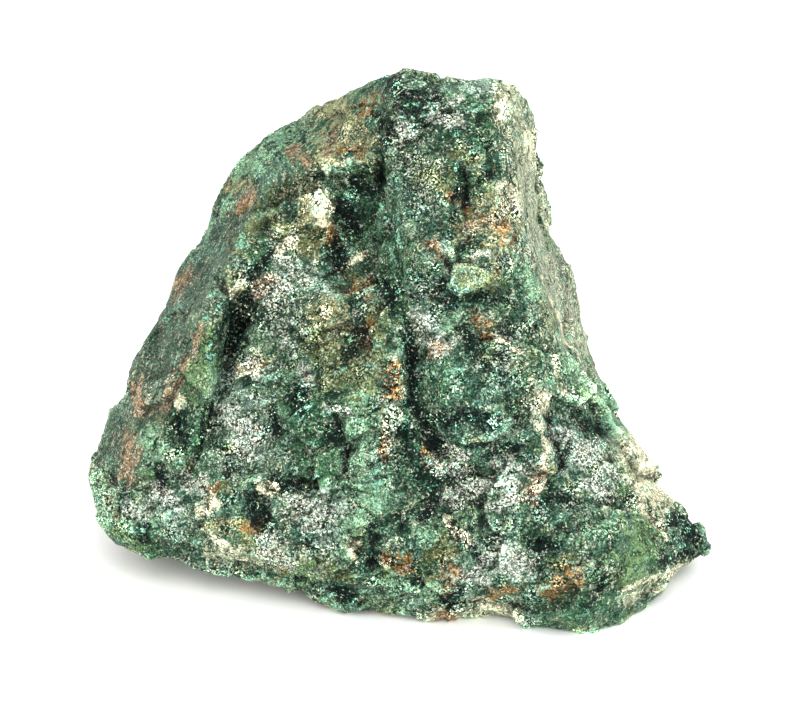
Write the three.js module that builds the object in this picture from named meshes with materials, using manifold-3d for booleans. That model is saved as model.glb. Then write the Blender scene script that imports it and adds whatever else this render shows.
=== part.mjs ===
// Raw jade boulder: one rough chunk of green stone, broken on every side, standing on its flat foot.
// Millimetres, +Z up, front towards -Y, origin at the middle of the resting face.
//
// The broken front face leans back by LEAN. Every landmark is given in that leaning frame:
// [across, up along the lean, out of the face]. The front and the back are each a sheet of flat
// facets between landmarks, and the two sheets meet along the RIM of the face.

import * as THREE from "three";
import { ConvexGeometry } from "three/addons/geometries/ConvexGeometry.js";
import { ConvexHull } from "three/addons/math/ConvexHull.js";
import { ImprovedNoise } from "three/addons/math/ImprovedNoise.js";
import { TessellateModifier } from "three/addons/modifiers/TessellateModifier.js";
import { mergeVertices } from "three/addons/utils/BufferGeometryUtils.js";
import Module from "manifold-3d";

const WIDTH = 80; // longest extent, across
const LEAN = 30; // degrees the front face leans back from upright
const FACET_EDGE = 3.4; // longest edge left after the facets are divided
const ROUGHNESS = [
  { wavelength: 11, depth: 0.55 },
  { wavelength: 5, depth: 0.32 },
];
const FOOT_TRIM = 0.6; // taken off the lowest points to make the flat resting face
const STONE_COLOR = 0x71856d;
const STONE_ROUGHNESS = 0.62;

// Rim of the leaning face, clockwise from the peak.
const RIM = [
  [1, 72.3, -7], [5.6, 71.6, -7], [9.5, 71.2, -8], [13.4, 71.5, -8.5],
  [15.4, 70.2, -10], [17.9, 66, -13], [18.2, 61.8, -14.5], [18.6, 57.6, -16],
  [20.1, 52.6, -17.5], [21.4, 49.4, -18.5], [22.2, 45.6, -19], [23.8, 39.4, -18.5],
  [26.1, 32.9, -16.5], [28.5, 28, -13], [31.6, 22.5, -10.5], [34.2, 19.2, -9.5],
  [36.9, 16.6, -10], [39.4, 13.4, -10.5], [40.4, 10.7, -11], [38.1, 8.6, -9],
  [34.8, 6.6, -7], [32.4, 4.9, -5.5], [30, 3.4, -4], [28.6, 1.4, -2],
  [24.6, 0, 0], [22.6, 0.9, 0], [19.6, 1.2, -0.5], [16.7, 1.2, -0.5],
  [14.4, 2.5, -1.5], [11.6, 3, -2.5], [9, 2.9, -2.5], [6.6, 1.9, -1.5],
  [4.2, 1.7, -1.5], [1.4, 2.4, -2], [-1.8, 3, -2.5], [-5, 3.6, -3],
  [-7.8, 4.4, -3.5], [-11.2, 5.3, -4], [-14.2, 6.5, -4.5], [-17.4, 7.1, -5],
  [-21, 7.8, -5.5], [-25.4, 8.2, -6], [-29.2, 9.9, -7], [-33, 10.1, -8],
  [-36, 11.7, -9], [-38, 14.4, -10], [-39.2, 18, -11], [-40, 21.3, -12],
  [-38.4, 24.2, -12.5], [-36.4, 28, -13], [-34.4, 32.8, -13.5], [-32.9, 36.6, -14],
  [-31.2, 39.8, -14.5], [-29.3, 43.4, -15], [-28.4, 46.8, -15.5], [-25.8, 51.6, -16],
  [-24.7, 54.4, -16], [-22.8, 58.2, -16], [-20.6, 61.1, -16], [-17.6, 63.3, -16],
  [-14.6, 65.1, -16], [-12.2, 66.2, -16], [-9.8, 68.6, -15.5], [-6.6, 70, -13.5],
  [-2.2, 71.4, -9.5],
];

// Landmarks of the front, from the left facet across to the right foot.
const LEFT_FACET = [
  [-15.6, 59.6, -8.6], [-18.2, 54.6, -7.4], [-20.6, 49.4, -6.2], [-22.6, 45.4, -5],
  [-25.6, 40, -4.6], [-27.6, 33.4, -4.6], [-29.6, 27, -4.8], [-31, 21.4, -4.8],
  [-24, 49.6, -11], [-29.6, 37.4, -9], [-33, 29.4, -8.8], [-35.2, 22.4, -7.6],
];
const LEFT_LIP = [
  [-21.8, 42.4, -4], [-23, 39.6, -2.8], [-23.4, 35.6, -2.2], [-24.2, 31.4, -2.2],
  [-25.2, 27.6, -2.4], [-27.4, 23.4, -3],
];
const LEFT_HOLLOW = [
  [-20.6, 42.6, -8.2], [-21.4, 38.2, -7.4], [-21.8, 34.2, -6], [-22.6, 30.2, -5.4],
  [-23.6, 26.4, -4.8], [-25.4, 22.8, -4.4],
];
const SHOULDER = [
  [-12.6, 60.6, -8.4], [-9.4, 60.4, -7], [-6.4, 59.9, -6], [-4.4, 60.6, -5.4],
  [-9.6, 65, -11], [-5.2, 66.6, -8.6], [-12.6, 58.6, -9.4], [-8.2, 57.8, -8.4],
  [-4.6, 57.4, -7.8],
];
const LEFT_FACE = [
  [-17, 52.4, -8.6], [-14.6, 48.6, -6.4], [-10.4, 53.4, -7.2], [-6.2, 52.6, -7.4],
  [-3.2, 55.8, -7.6], [-2.6, 50.4, -5.8], [-17.4, 43.6, -5.8], [-12.2, 43, -3.4],
  [-8.6, 47, -4.4], [-5.2, 46.6, -4.6], [-9, 41.6, -1.8], [-4.6, 42.4, -1.8],
  [-1.4, 44.4, -2.4], [-18.4, 36.4, -4], [-12.6, 36, -1.6], [-7, 36, 0.8],
  [-20, 29.4, -3.2], [-14.6, 28.6, -0.6], [-9.4, 28.4, 1.2], [-5.4, 30.4, 3],
  [-21.8, 22.2, -2.4], [-16.2, 20.8, -0.4], [-10.8, 20.2, 1], [-5.6, 22, 3.2],
];
const COLUMN = [
  [0.2, 70.4, -4.6], [1.6, 67.4, -2.4], [-0.9, 66, -3.6], [-0.8, 61, -2.6],
  [4.4, 69.6, -4], [9.4, 69.4, -4.4], [12.4, 69.4, -5], [6.6, 66, -1.8],
  [12.4, 65.4, -2.6], [3.8, 61.6, -0.6], [9.4, 61, -0.4], [13, 60, -1],
  [0.4, 56.6, -1], [5, 57.6, 1.4], [7.4, 56, 0.2], [12.8, 55.4, 0.4],
  [1.6, 51.6, 1], [6.4, 51.8, 3], [11.6, 51.4, 3], [3, 47.2, 3.4],
  [7, 46, 5], [11, 46.6, 4.6], [14, 50.2, 2.2],
];
const RIGHT_EDGE = [
  [14.6, 69, -7], [16.6, 65.8, -11], [14.4, 62.6, -4.4], [17.2, 61.4, -11.4],
  [14.8, 56.6, -2.6], [17.6, 56, -10.6], [16, 50.6, -1.4], [19, 50.6, -11],
  [17.6, 45.6, -1.2], [20.2, 44.4, -11], [19.6, 40, -1.6], [21.6, 38.6, -10],
  [21.4, 35.4, -1.8], [23.6, 34.4, -8.6], [24.6, 31, -4], [26.6, 29.2, -7.6],
];
const RIGHT_BACK = [
  [18.7, 55, -14.6], [20.2, 51, -15.6], [21.1, 46.4, -16.2], [22.5, 40, -15],
  [24.7, 34.2, -13],
];
const CREST = [
  [0.2, 40, 1.6], [-0.6, 36.4, 3.8], [-0.9, 32.4, 4.6], [-1.6, 27.4, 5],
  [-1.6, 22.6, 5], [-2.6, 17.6, 4.4], [-4, 12.4, 3],
];
const CREVICE = [
  [2, 42.6, 0], [2.2, 38, 0.6], [2.4, 33, 1.6], [3.4, 27, 2.6], [4.8, 21.4, 2.8],
  [6.2, 17.4, 3],
];
const MIDDLE = [
  [8.4, 42.2, 2.2], [13.2, 43, 1.6], [5.6, 38.4, 3.2], [10.4, 38.4, 2.6],
  [15.4, 39.4, 2.2], [6.2, 32.4, 4.6], [12, 32.6, 4.6], [17.4, 34.4, 3.6],
  [7.8, 26.4, 5.2], [13.2, 26.6, 5.4], [17.8, 28.4, 4.8], [10, 21.6, 5.4],
  [15.2, 21.2, 5.8], [18.2, 22.4, 5],
];
const RIGHT_FACE = [
  [20.4, 31, 0.8], [20.4, 26, 1.2], [20.8, 20.8, 1.6], [24.6, 25.4, -2],
  [25.6, 20, -0.6], [29.4, 24, -6.6], [29.6, 18.4, -3.4], [33.2, 15.4, -5.4],
  [36.6, 12.4, -8], [37.6, 9.6, -8.4],
];
const RIGHT_FOOT = [
  [9.6, 16.4, 4.8], [15, 16.8, 5.6], [20.6, 16.2, 4], [26, 15.4, 1],
  [10.4, 11.4, 4.6], [15.6, 11.6, 5.4], [21.4, 12.6, 5], [27, 12.8, 2.4],
  [32.6, 11, -2.6], [11.6, 7, 3], [16.6, 6.4, 4], [22.4, 8, 4.8], [28.6, 8.6, 2],
  [33, 8, -3], [19.4, 3.6, 2.2], [24.6, 3.2, 2.4], [29.2, 5, -0.6],
];
const FOOT_BAND = [
  [3.4, 12.6, 4], [7, 12.4, 3.6], [-0.6, 13, 3.6], [5.8, 6, 1.8], [1, 6.6, 1.6],
  [-4.6, 8, 1], [-9.2, 9.6, 0.2], [-14.4, 11, -0.4], [-19.2, 13, -0.8],
  [-9.4, 14.4, 1.8], [-24.4, 14.6, -2], [-24.6, 18.4, -2], [-29.6, 14.4, -3.4],
  [-29.4, 18.4, -3.4], [-34, 13.6, -6], [-34.4, 17.6, -6.2], [-37.2, 18.6, -9],
];
const FRONT = [
  LEFT_FACET, LEFT_LIP, LEFT_HOLLOW, SHOULDER, LEFT_FACE, COLUMN, RIGHT_EDGE, RIGHT_BACK,
  CREST, CREVICE, MIDDLE, RIGHT_FACE, RIGHT_FOOT, FOOT_BAND,
].flat();

// Landmarks of the back and of the underside; those below the foot are cut off with it.
const BACK_WALL = [
  [8, 69, -15], [-4, 67.6, -19], [-12, 63.4, -21], [13, 65.6, -20], [3, 64, -28],
  [-19, 57.4, -24], [-10, 56.6, -32], [-22.8, 51.4, -25.4], [16.4, 57.6, -26],
  [8, 55, -36], [-2, 50, -40], [-15, 47, -35], [-28, 41.2, -26], [19, 48.6, -31],
  [12, 44, -41], [-21, 37.6, -36], [-8, 38, -45.6], [-32.6, 31.4, -26.4],
  [21.8, 38.8, -31.6], [5, 36, -47], [20, 30, -41], [25, 30.4, -29],
];
const UNDERSIDE = [
  [-26, 24.6, -40], [-12, 29.4, -48.6], [6, 30.4, -50.6], [20, 25.4, -41.6],
  [28.6, 22.4, -34], [-36.4, 24.4, -22], [-31, 19.6, -30.6], [-37.2, 18.4, -17.4],
  [34.2, 16.4, -21], [36.6, 11.6, -17.6], [31.4, 13, -27], [-34.6, 13.2, -17],
  [-29, 12.4, -23], [-20, 9.6, -18], [-8, 6.6, -13], [4, 4.4, -9], [14, 4, -8],
  [22, 2.4, -5], [29, 5, -9.6], [33.4, 8.4, -14.6], [0, 14, -30], [-14, 17, -36],
  [16, 13, -28], [-20, 20, -42], [-4, 22, -46], [10, 22, -46], [22, 18, -37],
  [-28, 15.4, -31], [28, 11, -23],
];
const BACK = [BACK_WALL, UNDERSIDE].flat();

// Blocks added to the front and chips split off it: each is the hull of its corners.
const ADDED = {
  // rounded knob on top of the column
  knob: [
    [-1.4, 70.8, -8], [3, 71.8, -7.4], [4.2, 69.6, -3.4], [0.6, 69.6, -2.4],
    [-1.2, 66.4, -3], [2.8, 65.6, -1.2], [3.6, 66, -5],
  ],
  // low block under the middle of the column
  lobe: [
    [3.6, 49.6, 2.2], [6.4, 45, 5.8], [10.6, 44.8, 5.6], [12.6, 47.6, 4.4],
    [11, 51.4, 3.4], [4.6, 52.4, 2.2], [8, 47, 0], [12, 44.4, 2],
  ],
};
const CHIPS = {
  // deep cleft left of the column
  cleft: [
    [-3.2, 62, 2], [-3.8, 56.4, 2], [-1.4, 62.6, 2], [-0.4, 56, 2], [-1.2, 53, 2],
    [-2.4, 59.6, -10], [-1.9, 56.4, -10],
  ],
  // hollow beside the lip
  hollow: [
    [-22, 41.4, 0], [-19, 41.8, 0], [-18.6, 37.4, 0], [-22, 34.6, 0], [-21.2, 39.8, -9.4],
    [-20, 39.2, -9],
  ],
  // dark split down the middle
  split: [
    [1.4, 37, 9], [3.2, 37.4, 9], [3.4, 26, 9], [5.2, 19.4, 9], [4.2, 16.6, 9],
    [2.2, 27, 9], [2.2, 34, -0.6], [3.2, 24, 0.6],
  ],
  // notch under the lobe of the column
  notch: [
    [8, 44, 10], [13.6, 44.6, 10], [13.4, 39.8, 10], [8.4, 39.6, 10], [9.4, 42.4, 1],
    [12.6, 42, 0],
  ],
  // small hole beside the bump high on the column
  pocket: [
    [7.4, 60, 6], [10, 59.4, 6], [9.4, 55.4, 6], [7.4, 54.8, 6], [8.2, 57.6, -2.2],
  ],
  // undercut right of the stepped vein
  undercut: [
    [18.9, 29, 8], [21.4, 30, 8], [20.6, 19, 8], [18.6, 19.8, 8], [20.2, 25, -0.2],
    [19.6, 20.6, 0.4],
  ],
  // back corners
  backLeft: [
    [-40, 46, -60], [-19, 61, -24], [-34, 34, -23], [-16, 42, -60], [-30, 60, -60],
  ],
  backRight: [
    [12, 70, -60], [40, 50, -60], [23, 30, -46], [9, 52, -46], [19, 57, -27],
    [26, 40, -29],
  ],
};

const lean = THREE.MathUtils.degToRad(LEAN);
const noise = new ImprovedNoise();
const wasm = await Module();
wasm.setup();

// Leaning frame to the stone's own frame.
function upright([across, up, out]) {
  const y = up * Math.sin(lean) - out * Math.cos(lean);
  const z = up * Math.cos(lean) + out * Math.sin(lean);
  return new THREE.Vector3(across, y, z);
}

// Triangles between landmarks: the underside of their hull once lifted on to a bowl.
function facets(landmarks) {
  const lifted = landmarks.map(([across, up]) => {
    const bowl = (across * across + (up - 36) * (up - 36)) / 40;
    return new THREE.Vector3(across, up, bowl);
  });
  const hull = new ConvexHull().setFromPoints(lifted);
  const triangles = [];
  for (const face of hull.faces) {
    if (face.normal.z > -1e-9) continue;
    const corners = [face.edge, face.edge.next, face.edge.prev];
    triangles.push(corners.map((edge) => lifted.indexOf(edge.head().point)));
  }
  return triangles;
}

function insideRim(across, up) {
  let inside = false;
  RIM.forEach((corner, i) => {
    const other = RIM[(i + 1) % RIM.length];
    if (corner[1] > up === other[1] > up) return;
    const share = (up - corner[1]) / (other[1] - corner[1]);
    if (across < corner[0] + share * (other[0] - corner[0])) inside = !inside;
  });
  return inside;
}

// One sheet of facets inside the rim, facing out of the front or out of the back.
function sheet(landmarks, facesFront) {
  const points = [...RIM, ...landmarks];
  const positions = [];
  for (const triangle of facets(points)) {
    const [p, q, r] = triangle.map((index) => points[index]);
    if (!insideRim((p[0] + q[0] + r[0]) / 3, (p[1] + q[1] + r[1]) / 3)) continue;
    const turn = (q[0] - p[0]) * (r[1] - p[1]) - (q[1] - p[1]) * (r[0] - p[0]);
    const order = turn > 0 === facesFront ? [p, q, r] : [p, r, q];
    order.forEach((corner) => positions.push(...upright(corner).toArray()));
  }
  return positions;
}

function soup(positions) {
  const geometry = new THREE.BufferGeometry();
  geometry.setAttribute("position", new THREE.Float32BufferAttribute(positions, 3));
  return geometry;
}

function toManifold(geometry) {
  const bare = geometry.clone();
  bare.deleteAttribute("normal");
  bare.deleteAttribute("uv");
  const merged = mergeVertices(bare, 1e-4);
  const mesh = new wasm.Mesh({
    numProp: 3,
    vertProperties: new Float32Array(merged.attributes.position.array),
    triVerts: new Uint32Array(merged.index.array),
  });
  return new wasm.Manifold(mesh);
}

function toGeometry(manifold) {
  const mesh = manifold.getMesh();
  const geometry = new THREE.BufferGeometry();
  geometry.setAttribute("position", new THREE.BufferAttribute(mesh.vertProperties, 3));
  geometry.setIndex(new THREE.BufferAttribute(mesh.triVerts, 1));
  return geometry;
}

function hullOf(corners) {
  return toManifold(new ConvexGeometry(corners.map(upright)));
}

// Even, shallow unevenness of a broken surface; the same place always moves the same way.
function roughen(geometry) {
  const position = geometry.attributes.position;
  const point = new THREE.Vector3();
  for (let i = 0; i < position.count; i += 1) {
    point.fromBufferAttribute(position, i);
    const shift = new THREE.Vector3();
    for (const { wavelength, depth } of ROUGHNESS) {
      const [x, y, z] = point.toArray().map((value) => value / wavelength);
      shift.x += depth * noise.noise(x + 3.1, y + 7.7, z + 1.3);
      shift.y += depth * noise.noise(x + 9.4, y + 2.6, z + 5.8);
      shift.z += depth * noise.noise(x + 6.2, y + 4.9, z + 8.5);
    }
    position.setXYZ(i, point.x + shift.x, point.y + shift.y, point.z + shift.z);
  }
  return geometry;
}

function rawBlock() {
  let block = toManifold(soup([...sheet(FRONT, true), ...sheet(BACK, false)]));
  for (const corners of Object.values(ADDED)) block = block.add(hullOf(corners));
  for (const corners of Object.values(CHIPS)) block = block.subtract(hullOf(corners));
  return toGeometry(block).toNonIndexed();
}

function cutFoot(block) {
  const depth = 40;
  const slab = new THREE.BoxGeometry(4 * WIDTH, 4 * WIDTH, depth);
  slab.translate(0, 0, FOOT_TRIM - depth / 2);
  return block.subtract(toManifold(slab));
}

// Scale to the width asked for and put the middle of the foot's bounding box at the origin.
function place(geometry) {
  geometry.computeBoundingBox();
  const size = geometry.boundingBox.getSize(new THREE.Vector3());
  const middle = geometry.boundingBox.getCenter(new THREE.Vector3());
  geometry.translate(-middle.x, -middle.y, -geometry.boundingBox.min.z);
  geometry.scale(WIDTH / size.x, WIDTH / size.x, WIDTH / size.x);
  return geometry;
}

const divided = new TessellateModifier(FACET_EDGE, 12).modify(rawBlock());
const stone = place(toGeometry(cutFoot(toManifold(roughen(divided)))));
stone.computeVertexNormals();

const material = new THREE.MeshStandardMaterial({
  color: STONE_COLOR,
  roughness: STONE_ROUGHNESS,
});
const boulder = new THREE.Mesh(stone, material);
boulder.name = "jade_boulder";

const part = new THREE.Group();
part.add(boulder);

export default part;
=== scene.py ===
"""Looks of a raw jade boulder: the broken block, its ledges and cracks, its minerals and the stage."""

import math
from types import SimpleNamespace

import bpy
import numpy as np
from bpy.props import FloatProperty, FloatVectorProperty, IntProperty, PointerProperty
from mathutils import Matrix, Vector


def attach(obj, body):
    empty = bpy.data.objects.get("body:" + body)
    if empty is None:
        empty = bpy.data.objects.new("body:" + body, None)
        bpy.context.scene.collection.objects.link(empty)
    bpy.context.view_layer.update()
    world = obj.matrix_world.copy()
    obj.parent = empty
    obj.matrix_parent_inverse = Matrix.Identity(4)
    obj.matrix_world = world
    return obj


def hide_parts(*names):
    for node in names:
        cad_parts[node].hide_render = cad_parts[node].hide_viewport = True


bl_info = {
    "name": "Raw Jade Boulder",
    "version": (1, 0, 0),
    "blender": (4, 5, 0),
    "location": "3D View > Sidebar > Jade",
    "description": "Builds a rough, broken jade boulder with its ledges, cracks, veins and stains",
    "category": "Add Mesh",
}

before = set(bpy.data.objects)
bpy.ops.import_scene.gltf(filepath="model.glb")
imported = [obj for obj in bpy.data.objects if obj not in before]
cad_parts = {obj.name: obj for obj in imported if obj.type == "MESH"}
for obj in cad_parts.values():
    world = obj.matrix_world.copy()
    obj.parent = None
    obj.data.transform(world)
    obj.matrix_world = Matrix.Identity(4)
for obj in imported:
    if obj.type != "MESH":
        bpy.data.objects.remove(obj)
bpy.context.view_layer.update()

BLOCK = "jade_boulder"
STONE = "jade_stone"
MM = 0.001

# The front face leans back. Places on it are given in millimetres as (across, up the lean),
# and the third direction points out of the face. The block is drawn in this way too, and then
# moved back by BLOCK_SHIFT, in millimetres, to stand on the origin, and scaled by BLOCK_SCALE to
# its width.
LEAN = math.radians(30)
BLOCK_SCALE = 0.99543
BLOCK_SHIFT = np.array((0.110, 29.598, 0.600))
ACROSS = np.array((1.0, 0.0, 0.0))
UP = np.array((0.0, math.sin(LEAN), math.cos(LEAN)))
OUT = np.array((0.0, -math.cos(LEAN), math.sin(LEAN)))

# How far the chips are across, in millimetres, from the largest to the smallest, and how the
# rock's layers turn and draw them out.
SLAB, CHIP, CRYSTAL, SHARD = 8.0, 3.6, 1.7, 0.8
LAYER_TURN = math.radians(24)
LAYER_SQUEEZE = (0.62, 0.8, 1.35)

# How far the drawn lines waver sideways, in millimetres
LEDGE_SWAY = 0.35
MINERAL_SWAY = 0.55

# In the next tables, a line on the face is written as its points: across, up, across, up.

# The shares of a ledge's step that lift its proud side and lower its other side
LIFTED, LOWERED = 0.55, 0.45
# How far a crack and a swell reach, in half widths and half sizes
CRACK_REACH = 1.6
SWELL_REACH = 1.35

# Ledges, whose proud side is on the left hand going along the line: height of the step,
# how far it fades on the proud side and on the low side, and the line
LEDGES = {
    "shoulder": (1.3, 4, 2, -14.2, 57.8, -10.5, 59.1, -7.5, 58.9, -4.2, 59.4),
    "lip": (1.5, 3, 2.5, -28.2, 21.6, -25.2, 25.4, -23.4, 30, -22.6, 34, -22.2, 38, -21.2, 42.4),
    "column_left": (1.5, 4, 3, -0.6, 69, -1.6, 65, -2, 61, -2.2, 57, -0.8, 53, 0.6, 48.6, 1.2, 44),
    "column_foot": (0.9, 3, 2.6, 1.6, 45.6, 4.4, 44.2, 8, 44, 11.6, 44.6, 14.4, 46.8, 15.4, 49.6),
    "bump_side": (1.6, 3, 1.6, 7.6, 53.8, 8.3, 57, 7, 60.2),
    "bump_top": (0.7, 3, 2, 8.6, 60.2, 11, 60.8, 13.4, 61),
    "crest": (0.9, 2.4, 2.8, -0.8, 18, -0.4, 22, -0.2, 26, 0.6, 30, 0.9, 34, 1, 38.4),
    "dark_lobe": (0.9, 3, 1.6, 6, 17.4, 4.8, 20.6, 3.6, 24, 3, 28),
    "vein": (1.2, 3.4, 2.2, 16.6, 17.6, 18.2, 19.2, 20.3, 21.2, 19.2, 24, 19.3, 26, 18.4, 28.4,
        19.8, 31),
    "right_edge": (1.6, 1.2, 5, 26.4, 30, 23.2, 36, 21, 43, 19.6, 50, 18.3, 57, 17.8, 64),
    "middle_shelf": (1.2, 4, 1.5, 17, 20.8, 12.6, 20.4, 9, 20.9, 5, 20),
    "middle_shelf_low": (0.8, 3, 1.6, 16.4, 16, 12.8, 15, 10, 15.8, 7.4, 14.2),
    "middle_band": (0.8, 2.6, 1.6, 4, 29.4, 8.6, 29.8, 13, 28.6, 17, 28),
    "middle_band_low": (0.6, 2.6, 1.4, 5.6, 24.8, 9.4, 25.2, 13.6, 24.2, 16, 24.6),
    "pale_shelf": (1.1, 3.4, 1.6, 18.4, 19.6, 21.4, 18.9, 24.4, 17.8, 27.8, 18),
    "foot_shelf": (1.2, 4, 1.6, 33.4, 12.2, 31.4, 14.6, 28.8, 14.9, 25.8, 14.6, 22.4, 13.4, 18.6,
        13),
    "foot_rise": (1, 3, 1.5, 26.6, 11.2, 22.6, 9.2, 18.6, 7.6, 15, 5.4),
    "foot_rise_low": (0.8, 2.6, 1.4, 30.4, 6.8, 26, 5.6, 22, 5.2, 17.6, 3.2),
    "toe_edge": (0.8, 3, 2, -31, 13.2, -25, 11.4, -19, 10.6, -13, 9, -7, 7, 0, 5.6, 5, 4.4),
    "mint_edge": (0.9, 3, 2, -6.4, 28.4, -6.3, 24.6, -6, 20.4),
    "strip_edge": (0.9, 2.4, 1.6, -4, 8.6, -3.9, 12.4, -3.6, 16.6),
    "left_shelf": (0.9, 3, 1.6, -5.6, 20.6, -10, 19.4, -14.6, 19.8, -19.6, 20.8),
    "pale_corner": (0.7, 2, 1.4, -7.6, 14.6, -11.6, 13.8, -15, 15.4),
    "face_split": (0.8, 2.6, 1.6, -18.6, 20.4, -20.6, 16.6, -21.4, 12.6),
    "face_step": (0.7, 2.6, 1.6, -12.2, 27, -12, 31.4, -13.4, 35.6),
    "upper_step": (0.9, 2.6, 1.8, -16.8, 50.4, -13.2, 51.6, -9.6, 54.2, -8.4, 57),
    "chip_step": (0.9, 2.4, 1.6, -6.2, 47.2, -8.6, 50.2, -8.2, 53.6),
    "yellow_edge": (0.9, 2.6, 1.4, -11.4, 38.4, -8.2, 39, -5.6, 41.2, -6.8, 44),
}

# Cracks: half width, depth and the line
CRACKS = {
    "cleft": (0.35, 1.3, -1.5, 64, -2.1, 60, -2.3, 57.4, -1.5, 55),
    "cleft_low": (0.3, 0.5, -0.6, 51.6, 0.5, 47, 0.7, 42, 0.6, 39),
    "crest_split": (0.35, 0.7, 1.2, 38.8, 1.6, 34, 2, 30, 3.4, 26.2),
    "lip_line": (0.3, 0.5, -22.6, 34, -23.2, 31, -24.6, 26.4, -26.6, 23),
    "under_lobe": (0.3, 0.5, 7.4, 43.4, 10, 43, 13.2, 43.8),
    "bump_hole": (0.6, 1.3, 8.4, 58.6, 8.5, 55.6),
    "vein_line": (0.3, 0.8, 18.8, 28.4, 19.5, 25.4, 20.5, 22.4, 20, 20.8, 18.3, 19.4),
    "long_crack": (0.3, 0.7, 4.8, 21, 4.5, 18.6, 6.2, 16.8, 7.4, 14, 9.7, 11.6, 10.2, 9.4, 11.8,
        8.2),
    "foot_crack": (0.3, 0.6, 16.4, 11, 17.2, 8.8),
    "tip_crack": (0.4, 0.8, 26.4, 17.2, 27.8, 18),
    "tip_line": (0.35, 0.8, 28.6, 15.6, 31.2, 15.2, 33, 13.6, 34.2, 12),
    "tip_fork": (0.3, 0.6, 30, 17.8, 31.8, 15.8, 33.6, 14.6),
    "left_groove": (0.4, 0.7, -31.8, 20.6, -30, 27, -27.8, 34),
    "knob_groove": (0.4, 0.7, 3.4, 68, 5.6, 67, 8, 66.6),
    "face_line": (0.4, 0.7, -4.4, 56, -4.8, 51, -3.4, 47),
    "toe_line": (0.35, 0.6, -28, 11, -20, 9.2, -10, 7),
    "white_line": (0.35, 0.5, -14.2, 47.8, -12, 45, -10.6, 43.4),
}

# Swells and hollows: height, negative for a hollow, then the middle and the half size
SWELLS = {
    "left_hollow": (-1.7, (-20.5, 39.4), (1.9, 2.9)),
    "lip_hollow": (-0.9, (-27.8, 26.4), (1.6, 2.4)),
    "upper_hollow": (-0.7, (-6.2, 53.4), (2.4, 1.8)),
    "middle_hollow": (-1.1, (-7.6, 48.4), (1.5, 2)),
    "face_hollow": (-0.9, (-13, 30.4), (1.8, 1.6)),
    "low_hollow": (-0.8, (-14.4, 19), (2.2, 1.2)),
    "knob_hollow": (-0.8, (0.8, 69), (1.3, 1.4)),
    "teal_hollow": (-1.1, (12.4, 58.6), (1.4, 1)),
    "lobe_hollow": (-0.9, (8.8, 38.8), (1.6, 1.2)),
    "split_hollow": (-1, (4.6, 18.6), (1, 1.4)),
    "shelf_hollow": (-0.7, (21.4, 16.8), (3, 1.4)),
    "foot_hollow": (-0.8, (17.4, 12), (1.8, 1.1)),
    "bump": (1.2, (5.2, 57.4), (2.8, 2.8)),
    "cream_swell": (0.9, (-9.6, 55.6), (1.7, 2.6)),
    "yellow_swell": (0.9, (-9, 41.6), (2.6, 2.2)),
    "rust_swell": (0.8, (-5.4, 45.4), (1.5, 1.8)),
    "lobe_left": (0.8, (4, 48.2), (2.2, 2.4)),
    "lobe_right": (0.9, (10, 47.6), (2.6, 2.4)),
    "dark_swell": (0.8, (1.6, 23.6), (1.8, 3)),
    "mint_swell": (0.6, (-4.2, 24.4), (1.6, 4)),
    "foot_swell": (0.7, (30, 10), (3.6, 2.6)),
    "heel_swell": (0.6, (22, 3.2), (4.6, 2)),
    "corner_swell": (0.6, (-35, 15.6), (3, 2.6)),
    "ridge_swell": (0.7, (32, 19.4), (2, 2.6)),
}

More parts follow.
